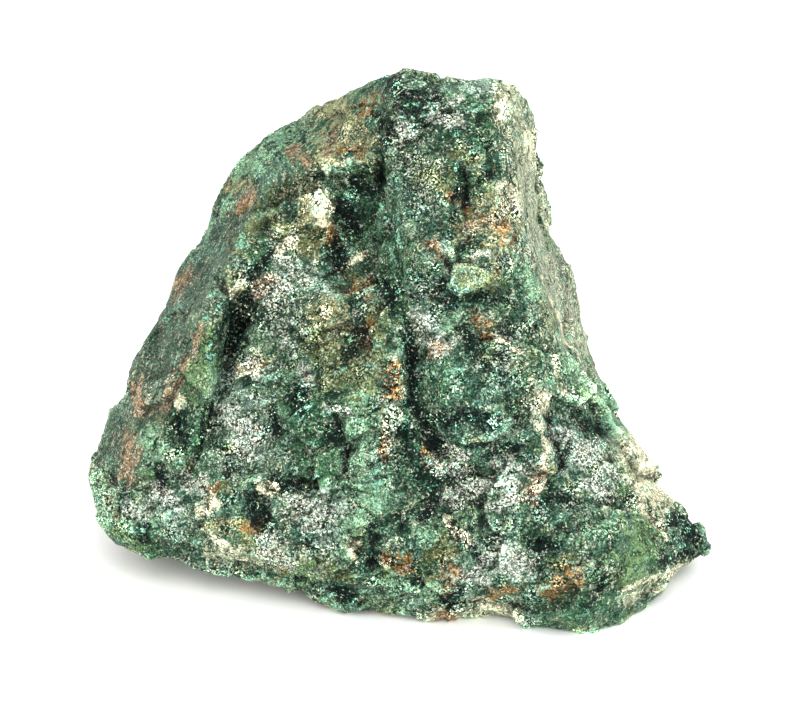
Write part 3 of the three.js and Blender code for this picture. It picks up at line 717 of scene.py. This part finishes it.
class JadeColours(bpy.types.PropertyGroup):
    """Colours of the stone's minerals."""

    grey: mineral("Grey green", "Dull grey-green film", 0.084, 0.119, 0.084)
    teal: mineral("Teal", "Clear dark blue-green jade", 0.048, 0.110, 0.075)
    moss: mineral("Moss green", "Deep green jade", 0.03, 0.085, 0.042)
    tan: mineral("Tan", "Yellow-grey weathered film", 0.24, 0.235, 0.12)
    straw: mineral("Straw", "Pale yellow-green worn rock", 0.42, 0.45, 0.30)
    pale_teal: mineral("Pale teal", "Milky blue-green jade", 0.165, 0.245, 0.187)
    salmon: mineral("Salmon", "Pinkish brown film", 0.31, 0.20, 0.12)
    olive: mineral("Olive", "Yellow-brown weathered film", 0.105, 0.125, 0.048)
    mint: mineral("Mint", "Clear pale green jade", 0.175, 0.32, 0.19)
    bright: mineral("Bright green", "Fresh yellow-green jade", 0.115, 0.20, 0.085)
    rust: mineral("Rust", "Iron stains", 0.20, 0.115, 0.04)
    milky: mineral("Milky quartz", "Pale pinkish grey grains", 0.29, 0.315, 0.262)
    # Nearly black jade, which also serves as painted shade in the cracks and hollows
    shadow: mineral("Black green", "Nearly black jade", 0.004, 0.011, 0.009)
    cream: mineral("Cream", "Cream veins and worn edges", 0.58, 0.57, 0.38)
    turquoise: mineral("Turquoise", "Thin blue-green streaks", 0.10, 0.25, 0.17)


def even_skin(stone, cell):
    """Remakes the stone's surface with faces of one size."""
    select_only(stone)
    bpy.ops.object.modifier_add(type="REMESH")
    remesh = stone.modifiers[-1]
    remesh.mode = "VOXEL"
    remesh.voxel_size = cell
    remesh.use_smooth_shade = True
    apply_all_modifiers(stone)


def rest_on_floor(mesh):
    """Flattens whatever hangs below the floor."""
    places = places_of(mesh)
    places[:, 2] = np.maximum(places[:, 2], 0.0)
    put_places(mesh, places)


class JADE_OT_block(bpy.types.Operator):
    """Copies the frame's block and gives it an even skin"""

    bl_idname = "jade.block"
    bl_label = "Block"

    def execute(self, context):
        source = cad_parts[BLOCK]
        stone = bpy.data.objects.new(STONE, source.data.copy())
        context.scene.collection.objects.link(stone)
        stone.data.name = STONE
        stone.data.materials.clear()
        select_only(stone)
        bpy.ops.object.mode_set(mode="EDIT")
        bpy.ops.mesh.select_all(action="SELECT")
        bpy.ops.mesh.remove_doubles(threshold=1e-6)
        bpy.ops.object.mode_set(mode="OBJECT")
        even_skin(stone, context.scene.jade_sizes.coarse_voxel)
        return {"FINISHED"}


class JADE_OT_ledges(bpy.types.Operator):
    """Cuts the ledges, cracks, swells and hollows of the front face"""

    bl_idname = "jade.ledges"
    bl_label = "Ledges and cracks"

    def execute(self, context):
        stone = bpy.data.objects[STONE]
        mesh = stone.data
        places = places_of(mesh)
        face = on_the_face(places) + LEDGE_SWAY * waver(places, size=1.6, seed=5)
        height = relief(face) * facing_front(normals_of(mesh), steepness=3, level=0.6)
        put_places(mesh, places + OUT * height[:, None] * MM)
        even_skin(stone, context.scene.jade_sizes.fine_voxel)
        return {"FINISHED"}


class JADE_OT_break(bpy.types.Operator):
    """Breaks the whole surface into flat chips and crumbly grain"""

    bl_idname = "jade.break_surface"
    bl_label = "Broken surface"

    def execute(self, context):
        stone = bpy.data.objects[STONE]
        sizes = context.scene.jade_sizes
        face = on_the_face(places_of(stone.data))
        facing = facing_front(normals_of(stone.data), steepness=4, level=0.5)
        mark(stone.data, "smooth", np.clip(strips(face, SMOOTH) * SMOOTH_EDGE, 0, 1) * facing)
        select_only(stone)
        bpy.ops.object.modifier_add(type="NODES")
        stone.modifiers[-1].node_group = broken_surface_tree(sizes)
        apply_all_modifiers(stone)
        rest_on_floor(stone.data)
        bpy.ops.object.modifier_add(type="DECIMATE")
        stone.modifiers[-1].ratio = sizes.kept_share
        apply_all_modifiers(stone)
        rest_on_floor(stone.data)
        bpy.ops.object.mode_set(mode="EDIT")
        bpy.ops.mesh.select_all(action="SELECT")
        bpy.ops.mesh.normals_make_consistent(inside=False)
        bpy.ops.object.mode_set(mode="OBJECT")
        return {"FINISHED"}


def mark_hollows(mesh, rounds):
    """Marks how far each place lies in a hollow, a near one and a wide one, for painted shade in
    hollows and painted highlight on edges.
    """
    places, normals, edges = places_of(mesh), normals_of(mesh), edges_of(mesh)
    for name, reach in (("hollow_near", rounds), ("hollow_wide", rounds * 8)):
        sunk = spread(places, edges, reach) - places
        mark(mesh, name, (sunk * normals).sum(1) / MM)


class JADE_OT_minerals(bpy.types.Operator):
    """Marks the veins, stains and streaks on the stone"""

    bl_idname = "jade.minerals"
    bl_label = "Minerals"

    def execute(self, context):
        mesh = bpy.data.objects[STONE].data
        mark_hollows(mesh, context.scene.jade_sizes.hollow_rounds)
        places = places_of(mesh)
        normals = spread(normals_of(mesh), edges_of(mesh), rounds=30)
        facing = facing_front(normals, steepness=7, level=0.2)
        wobble = waver(places, size=2.2, seed=15) + 0.5 * waver(places, size=0.9, seed=25)
        face = on_the_face(places) + MINERAL_SWAY * wobble
        for seed, (name, zone) in enumerate(ZONES.items(), start=FIRST_ZONE_SEED):
            size, level = WANDERING[name]
            wander = soft_noise(places / MM, size, seed)
            wander += 0.45 * soft_noise(places / MM, size / 3, seed)
            wild = np.clip((wander - level) * WILD_EDGE, -1, 1)
            mark(mesh, name, wild + (strips(face, zone) - wild) * facing)
        for name, zone in STREAKS.items():
            mark(mesh, name, np.clip(strips(face, zone) * STREAK_EDGE, 0, 1) * facing)
        return {"FINISHED"}


def streak_noise(tree, place, turn, squeeze, scale):
    """Noise drawn out along one direction: turn is in degrees about the out-of-face axis."""
    node = add_node(tree, "ShaderNodeVectorRotate",
                    {"Vector": place, "Axis": tuple(OUT), "Angle": math.radians(turn)})
    drawn_out = vector_calc(tree, "MULTIPLY", node.outputs[0], (squeeze, 1.0, 1.0))
    return noise(tree, drawn_out, scale, detail=4.0, rough=0.65)


def ragged_patch_tree():
    """Turns a soft zone value into a patch with a ragged edge."""
    tree, inward, outward = new_tree(
        "Ragged patch", "ShaderNodeTree",
        [("Zone", "NodeSocketFloat", -1.0), ("Drift", "NodeSocketFloat", 0.5),
         ("Raggedness", "NodeSocketFloat", 1.4), ("Softness", "NodeSocketFloat", 0.3)],
        [("Mask", "NodeSocketFloat")],
    )
    zone, drift, ragged, soft = (inward.outputs[k] for k in range(4))
    moved = calc(tree, "MULTIPLY_ADD", centred(tree, drift), ragged, zone)
    mask = calc(tree, "DIVIDE", calc(tree, "ADD", moved, 0.05), soft, clamp=True)
    tree.links.new(mask, outward.inputs[0])
    return tree


def patch_of(tree, patch, name, drift, ragged, soft):
    """The ragged patches of one zone: 1 inside them and 0 outside."""
    made = add_node(tree, "ShaderNodeGroup", {
        "Zone": attribute(tree, name), "Drift": drift, "Raggedness": ragged, "Softness": soft,
    }, node_tree=patch)
    return made.outputs[0]


def colour_ramp(tree, value, stops, steps="LINEAR"):
    ramp = tree.nodes.new("ShaderNodeValToRGB")
    ramp.color_ramp.interpolation = steps
    while len(ramp.color_ramp.elements) < len(stops):
        ramp.color_ramp.elements.new(0.5)
    for element, (position, colour) in zip(ramp.color_ramp.elements, stops):
        element.position = position
        element.color = (*colour, 1)
    tree.links.new(value, ramp.inputs[0])
    return ramp.outputs[0]


def stone_patterns(tree):
    """The patterns that all parts of the material share, in millimetres on the stone."""
    place = vector_calc(
        tree, "SCALE", tree.nodes.new("ShaderNodeTexCoord").outputs["Object"], 1 / MM)
    bent = bend(tree, place, scale=0.8, detail=3.0, amount=1.6)
    layered = layered_place(tree, place)[0]
    block = chips(tree, layered, CHIP, tilt=0.15, offset=0.15)[1]
    crystal_height, crystal = chips(tree, layered, CRYSTAL, tilt=0.3, offset=0.14)
    shard_height, shard = chips(tree, layered, SHARD, tilt=0.3, offset=0.09)
    beside = vector_calc(tree, "ADD", place, (7, 3, 9))
    return SimpleNamespace(
        place=place, bent=bent,
        jagged=bend(tree, place, scale=1.4, detail=2.0, amount=0.9),
        big=noise(tree, place, scale=0.13, detail=3.0),
        middle=noise(tree, bent, scale=0.45, detail=3.0, rough=0.5),
        small=noise(tree, bent, scale=1.7, detail=3.0, rough=0.55),
        block=block, crystal=crystal, shard=shard,
        height=calc(tree, "ADD", crystal_height, shard_height),
        grain=channel(tree, cells(tree, place, scale=3.9).outputs["Color"]),
        dust=channel(tree, cells(tree, beside, scale=6.4).outputs["Color"]),
    )


def streak_patterns(tree, bent):
    """Each streak pattern by name, and the same ones centred and kept to their own strips."""
    drawn, kept = {}, {}
    for name, (turn, squeeze, scale, _) in STREAK_LINES.items():
        drawn[name] = streak_noise(tree, bent, turn, squeeze, scale)
        kept[name] = calc(tree, "MULTIPLY", centred(tree, drawn[name]), attribute(tree, name))
    return drawn, kept


def drift_pattern(tree, patterns, kept_streaks):
    """The pattern that makes the borders of the patches wander."""
    bands = weighed_sum(tree, 0.0, ((streak, 1.0) for streak in kept_streaks.values()))
    return weighed_sum(tree, 0.0, (
        (patterns.middle, 0.6), (patterns.small, 0.4),
        (centred(tree, channel(tree, patterns.crystal, 1)), 0.22),
        (centred(tree, channel(tree, patterns.shard, 1)), 0.22), (bands, 0.8),
    ))


def tone_pattern(tree, patterns, kept_streaks, pale, dark):
    """How light the stone is, from 0 to 1, with painted shade in the hollows and a painted highlight on
    the edges.
    """
    near_shade_and_highlight = attribute(tree, "hollow_near")
    around_middle = (
        (patterns.big, 0.3), (patterns.middle, 0.34), (patterns.small, 0.18),
        (channel(tree, patterns.block, 2), 0.13), (channel(tree, patterns.crystal), 0.13),
        (channel(tree, patterns.shard), 0.12),
    )
    swings = ((centred(tree, value), share) for value, share in around_middle)
    tone = weighed_sum(tree, MIDDLE_TONE, swings)
    # Streaks, painted shade in the hollows, painted highlight on the edges, lighter where the chips
    # stand higher, lighter pale patches, and darker black patches that are partly painted shade
    tone = weighed_sum(tree, tone, (
        *((kept_streaks[name], strength) for name, (*_, strength) in STREAK_LINES.items()),
        (calc(tree, "MAXIMUM", near_shade_and_highlight, 0.0), -2.0), (calc(tree, "MINIMUM", near_shade_and_highlight, 0.0), -1.2),
        (patterns.height, 0.5), (attribute(tree, "hollow_wide"), -0.05),
        (pale, 0.08), (dark, -0.22),
    ))
    calming = calc(tree, "MULTIPLY", attribute(tree, "smooth"), 0.4)
    return calc(tree, "MULTIPLY_ADD", calc(tree, "SUBTRACT", 0.5, tone), calming, tone)


# Ramps of the ground: (where the colour stands from 0 to 1, colour)
SHADES = (
    (0.0, (0.002, 0.006, 0.004)), (0.22, (0.007, 0.022, 0.014)), (0.42, (0.022, 0.060, 0.033)),
    (0.56, (0.050, 0.108, 0.062)), (0.70, (0.105, 0.18, 0.11)), (0.85, (0.24, 0.31, 0.21)),
    (1.0, (0.56, 0.60, 0.48)),
)
TINTS = (
    (0.34, (0.70, 1.0, 1.12)), (0.46, (0.86, 1.04, 0.94)), (0.54, (1.06, 1.0, 0.86)),
    (0.64, (1.5, 1.05, 0.58)),
)
MOSAIC = (
    (0.0, (0.008, 0.020, 0.014)), (0.2, (0.022, 0.062, 0.034)), (0.34, (0.045, 0.105, 0.070)),
    (0.46, (0.060, 0.125, 0.070)), (0.56, (0.092, 0.140, 0.095)), (0.66, (0.085, 0.175, 0.100)),
    (0.75, (0.110, 0.130, 0.050)), (0.83, (0.160, 0.240, 0.185)), (0.93, (0.30, 0.34, 0.26)),
)
MOSAIC_COVER = 0.75


def ground_colour(tree, patterns, tone, texture):
    """The green ground: a tinted shade for each tone, blended with a mosaic of crystals."""
    shade = colour_ramp(tree, tone, SHADES)
    beside = vector_calc(tree, "ADD", patterns.bent, (31, 17, 5))
    hue = weighed_sum(tree, noise(tree, beside, scale=0.22, detail=3.0), (
        (centred(tree, channel(tree, patterns.crystal, 1)), 0.16),))
    tinted = blend(tree, 1.0, shade, colour_ramp(tree, hue, TINTS), "MULTIPLY")
    pick = weighed_sum(tree, noise(tree, patterns.bent, scale=0.3, detail=4.0, rough=0.5), (
        (centred(tree, channel(tree, patterns.crystal, 2)), 0.25),
        (centred(tree, channel(tree, patterns.block, 1)), 0.3),
    ))
    mosaic = vector_calc(tree, "SCALE", colour_ramp(tree, pick, MOSAIC, "CONSTANT"), texture)
    return blend(tree, MOSAIC_COVER, tinted, mosaic)


def minerals_over(tree, colours, colour, texture, patch, drift, streaks):
    """Lays each mineral's patches over the ground."""
    for name, (cover, ragged, soft) in LAYERS.items():
        wander = streaks[FOLLOWS[name]] if name in FOLLOWS else drift
        inside = patch_of(tree, patch, ZONE_OF.get(name, name), wander, ragged, soft)
        own = vector_calc(tree, "SCALE", tuple(getattr(colours, name))[:3], texture)
        colour = blend(tree, calc(tree, "MULTIPLY", inside, cover), colour, own)
    return colour


# Pale and dark veinlets: scale, colour, levels that their noise fades in between, and cover
VEINLETS = (
    (0.5, (0.36, 0.40, 0.28, 1), 0.54, 0.60, 0.4),
    (0.6, (0.006, 0.014, 0.010, 1), 0.50, 0.56, 0.8),
)
VEINLET_WIDE, VEINLET_NARROW = 0.06, 0.02


def veinlets(tree, place, colour):
    """Hair-thin pale and dark lines along some of the borders between crystals."""
    for scale, seam, low, high, cover in VEINLETS:
        border = add_node(tree, "ShaderNodeTexVoronoi", {"Vector": place, "Scale": scale},
                          feature="DISTANCE_TO_EDGE").outputs["Distance"]
        line = step_up(tree, border, VEINLET_WIDE, VEINLET_NARROW)
        here = step_up(tree, noise(tree, place, scale * 0.6), low, high)
        share = calc(tree, "MULTIPLY", calc(tree, "MULTIPLY", line, here), cover)
        colour = blend(tree, share, colour, seam)
    return colour


def salt_pattern(tree, patterns, pale, dark, grey):
    """How far the light and dark grains stand out: most in pale, dark and grey patches."""
    calm = attribute(tree, "smooth")
    clusters = noise(tree, patterns.bent, scale=0.3, detail=3.0)
    clusters = step_up(tree, clusters, low=0.36, high=0.6, to_low=0.55)
    clusters = calc(tree, "MULTIPLY", calc(tree, "MULTIPLY_ADD", calm, -0.6, 1.0), clusters)
    grey = calc(tree, "MULTIPLY", grey, calc(tree, "MULTIPLY_ADD", calm, -0.7, 1.0))
    salt = calc(tree, "MAXIMUM", calc(tree, "MAXIMUM", pale, dark), grey)
    rest = noise(tree, patterns.bent, scale=0.42, detail=3.0, rough=0.5)
    salt = calc(tree, "MAXIMUM", salt, step_up(tree, rest, low=0.54, high=0.60))
    return calc(tree, "MULTIPLY", clusters, calc(tree, "MULTIPLY_ADD", salt, 0.65, 0.35))


# White grains: partly real pale grains and partly painted glints
WHITE_GRAINS_AND_GLINTS = ((0.2, (0.54, 0.61, 0.57)), (0.55, (0.61, 0.60, 0.53)), (0.85, (0.62, 0.54, 0.38)))
BLACK_GRAIN = (0.003, 0.006, 0.006, 1)
WHITE_AND_GLINT_COVER, BLACK_COVER = 0.8, 0.95


def grains_over(tree, patterns, colour, salt, pale, dark):
    """Roughens the colour with its grain, and lays over it the black grains and the white grains, which
    are partly painted glints.
    """
    grain, dust = patterns.grain, patterns.dust
    balance = weighed_sum(tree, 0.0, (
        (centred(tree, patterns.middle), 0.5), (centred(tree, patterns.small), 1.0),
        (pale, 0.16), (dark, -0.26),
    ))
    grit = weighed_sum(tree, 0.0, ((dust, 0.35), (grain, 0.65)))
    weighed = calc(tree, "ADD", grit, balance)
    white_and_glint = calc(tree, "MULTIPLY", step_up(tree, weighed, low=0.77, high=0.82), salt)
    white_and_glint = calc(tree, "MAXIMUM", white_and_glint, step_up(tree, grit, low=0.90, high=0.94))
    black = calc(tree, "MULTIPLY", step_up(tree, weighed, low=0.42, high=0.38), salt)
    white_and_glint_colours = colour_ramp(tree, channel(tree, patterns.shard, 2), WHITE_GRAINS_AND_GLINTS)
    powder = noise(tree, patterns.place, scale=4.4, rough=0.8)
    fine = weighed_sum(tree, 0.0, (
        (centred(tree, dust), 2.2), (centred(tree, powder), 8.0),
        (calc(tree, "SUBTRACT", grain, 0.63), 1.5),
    ))
    strength = calc(tree, "MULTIPLY_ADD", salt, 1.8, 0.3)
    gain = calc(tree, "POWER", 2.0, calc(tree, "MULTIPLY", fine, strength))
    colour = vector_calc(tree, "SCALE", colour, gain)
    colour = blend(tree, calc(tree, "MULTIPLY", white_and_glint, WHITE_AND_GLINT_COVER), colour, white_and_glint_colours)
    return blend(tree, calc(tree, "MULTIPLY", black, BLACK_COVER), colour, BLACK_GRAIN)


SHEEN_LEVEL = 0.05
# How rough the smoothest grains are, and how much rougher the roughest
LEAST_ROUGH, ROUGHER = 0.40, 0.35
BUMP_STRENGTH = 0.8


def jade_material(colours):
    """The stone's material: its green ground with painted shade in hollows and painted highlight on
    edges, then minerals, veinlets and grains laid on it.
    """
    material = bpy.data.materials.new("Raw jade")
    material.use_nodes = True
    tree = material.node_tree
    shader = tree.nodes["Principled BSDF"]
    patch = ragged_patch_tree()

    patterns = stone_patterns(tree)
    streaks, kept_streaks = streak_patterns(tree, patterns.bent)
    drift = drift_pattern(tree, patterns, kept_streaks)
    pale = patch_of(tree, patch, "pale", drift, ragged=4.0, soft=1.0)
    # Black patches, partly nearly black jade and partly painted shade in the cracks and hollows
    dark = patch_of(tree, patch, "dark", drift, ragged=3.5, soft=1.0)
    grey = patch_of(tree, patch, "grey", drift, ragged=4.0, soft=0.6)
    tone = tone_pattern(tree, patterns, kept_streaks, pale, dark)
    swing = calc(tree, "MULTIPLY", centred(tree, tone), TONE_STRENGTH)
    texture = calc(tree, "POWER", 2.0, swing)

    colour = ground_colour(tree, patterns, tone, texture)
    colour = minerals_over(tree, colours, colour, texture, patch, drift, streaks)
    colour = veinlets(tree, patterns.jagged, colour)
    salt = salt_pattern(tree, patterns, pale, dark, grey)
    colour = grains_over(tree, patterns, colour, salt, pale, dark)
    tree.links.new(colour, shader.inputs["Base Color"])

    shader.inputs["Specular IOR Level"].default_value = SHEEN_LEVEL
    rough = calc(tree, "MULTIPLY_ADD", patterns.grain, ROUGHER, LEAST_ROUGH)
    tree.links.new(rough, shader.inputs["Roughness"])
    height = weighed_sum(tree, patterns.height, (
        (centred(tree, patterns.small), 0.16), (patterns.grain, 0.03)))
    bump = add_node(tree, "ShaderNodeBump",
                    {"Strength": BUMP_STRENGTH, "Distance": MM, "Height": height})
    tree.links.new(bump.outputs[0], shader.inputs["Normal"])
    return material


MAP_GAP = 2 * MM


def lay_out_map(mesh):
    """Gives the stone a map of six flat sheets, one for each side, two to a row."""
    places = places_of(mesh)
    normals = spread(normals_of(mesh), edges_of(mesh), rounds=60)
    up = np.cross(OUT, (1, 0, 0))
    sides = [(OUT, (1, 0, 0), up), (-OUT, (-1, 0, 0), up), (up, (1, 0, 0), -OUT),
             (-up, (1, 0, 0), OUT), ((-1, 0, 0), OUT, up), ((1, 0, 0), -OUT, up)]
    corner_vertex = np.empty(len(mesh.loops), np.int32)
    mesh.loops.foreach_get("vertex_index", corner_vertex)
    first = np.empty(len(mesh.polygons), np.int32)
    mesh.polygons.foreach_get("loop_start", first)
    count = np.diff(np.append(first, len(corner_vertex)))
    face_normal = np.add.reduceat(normals[corner_vertex], first) / count[:, None]
    leaning = np.stack([face_normal @ np.asarray(side[0], float) for side in sides], 1)
    corner_side = np.repeat(leaning.argmax(1), count)
    flat = np.zeros((len(corner_vertex), 2))
    extent = []
    for k, (_, across, along) in enumerate(sides):
        on = corner_side == k
        flat[on] = places[corner_vertex[on]] @ np.stack([across, along], 1).astype(float)
        flat[on] -= flat[on].min(0)
        extent.append(flat[on].max(0) + MAP_GAP)
    extent = np.array(extent)
    column = extent[:, 0].max()
    row = 0.0
    for k in range(0, len(sides), 2):
        flat[corner_side == k, 1] += row
        flat[corner_side == k + 1] += (column, row)
        row += extent[k:k + 2, 1].max()
    flat = (flat + MAP_GAP / 2) / max(column * 2, row)
    layer = mesh.uv_layers.new(name="OFBake")
    layer.data.foreach_set("uv", flat.astype(np.float32).ravel())


class JADE_OT_finish(bpy.types.Operator):
    """Gives the stone its finish and its map"""

    bl_idname = "jade.finish"
    bl_label = "Finish"

    def execute(self, context):
        stone = bpy.data.objects[STONE]
        stone.data.materials.append(jade_material(context.scene.jade_colours))
        lay_out_map(stone.data)
        select_only(stone)
        bpy.ops.object.shade_smooth()
        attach(stone, "root")
        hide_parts(BLOCK)
        return {"FINISHED"}


# The stage, in metres
FLOOR_SIZE = 6
PAPER_COLOUR = (0.94, 0.94, 0.94, 1)
LIGHTS_AIM = (0, 0, 0.03)
# Soft square lights: (place, size, power, colour)
LIGHTS = {
    "key": ((-0.32, -0.32, 0.62), 1.2, 5.1, (1, 0.985, 0.96)),
    "fill": ((0.5, -0.4, 0.45), 1.2, 5.9, (0.97, 0.99, 1)),
    "back": ((0.1, 0.6, 0.5), 0.6, 2.0, (1, 1, 1)),
}
SKY_STRENGTH = 0.88
CAMERA_LOOKS_AT = Vector((0.0002, 0.0, 0.0238))
CAMERA_DISTANCE = 0.7145
CAMERA_LENS = 250


def add_floor():
    bpy.ops.mesh.primitive_plane_add(size=FLOOR_SIZE)
    floor = bpy.context.object
    floor.name = "floor"
    paper = bpy.data.materials.new("Pale paper")
    paper.use_nodes = True
    surface = paper.node_tree.nodes["Principled BSDF"]
    surface.inputs["Base Color"].default_value = PAPER_COLOUR
    surface.inputs["Roughness"].default_value = 0.9
    surface.inputs["Specular IOR Level"].default_value = 0.1
    floor.data.materials.append(paper)


def add_light(name, place, size, power, colour):
    bpy.ops.object.light_add(type="AREA", location=place)
    light = bpy.context.object
    light.name = name
    light.rotation_euler = (Vector(LIGHTS_AIM) - Vector(place)).to_track_quat("-Z", "Y").to_euler()
    light.data.size = size
    light.data.energy = power
    light.data.color = colour


def add_camera(scene):
    """Looks straight at the leaning front face."""
    direction = Vector(OUT)
    bpy.ops.object.camera_add(location=CAMERA_LOOKS_AT + direction * CAMERA_DISTANCE)
    camera = bpy.context.object
    camera.name = "camera"
    camera.rotation_euler = (-direction).to_track_quat("-Z", "Y").to_euler()
    camera.data.lens = CAMERA_LENS
    camera.data.clip_start = 0.01
    scene.camera = camera


class JADE_OT_stage(bpy.types.Operator):
    """Sets the pale floor, the soft lights and the camera"""

    bl_idname = "jade.stage"
    bl_label = "Stage"

    def execute(self, context):
        add_floor()
        for name, light in LIGHTS.items():
            add_light(name, *light)
        world = bpy.data.worlds.new("studio")
        context.scene.world = world
        world.use_nodes = True
        sky = world.node_tree.nodes["Background"]
        sky.inputs["Color"].default_value = (1, 1, 1, 1)
        sky.inputs["Strength"].default_value = SKY_STRENGTH
        add_camera(context.scene)
        context.scene.view_settings.view_transform = "Standard"
        return {"FINISHED"}


class JADE_PT_panel(bpy.types.Panel):
    """Lists the steps that build the boulder"""

    bl_label = "Raw Jade Boulder"
    bl_space_type = "VIEW_3D"
    bl_region_type = "UI"
    bl_category = "Jade"

    def draw(self, context):
        for step in STEPS:
            self.layout.operator(step.bl_idname)
        for group in (context.scene.jade_sizes, context.scene.jade_colours):
            for name in group.__annotations__:
                self.layout.prop(group, name)


STEPS = (JADE_OT_block, JADE_OT_ledges, JADE_OT_break, JADE_OT_minerals, JADE_OT_finish,
         JADE_OT_stage)
CLASSES = (JadeSizes, JadeColours, *STEPS, JADE_PT_panel)


def register():
    for made in CLASSES:
        bpy.utils.register_class(made)
    bpy.types.Scene.jade_sizes = PointerProperty(type=JadeSizes)
    bpy.types.Scene.jade_colours = PointerProperty(type=JadeColours)


def unregister():
    del bpy.types.Scene.jade_colours
    del bpy.types.Scene.jade_sizes
    for made in reversed(CLASSES):
        bpy.utils.unregister_class(made)


def main():
    register()
    bpy.ops.jade.block()
    bpy.ops.jade.ledges()
    bpy.ops.jade.break_surface()
    bpy.ops.jade.minerals()
    bpy.ops.jade.finish()
    bpy.ops.jade.stage()


if __name__ == "__main__":
    main()
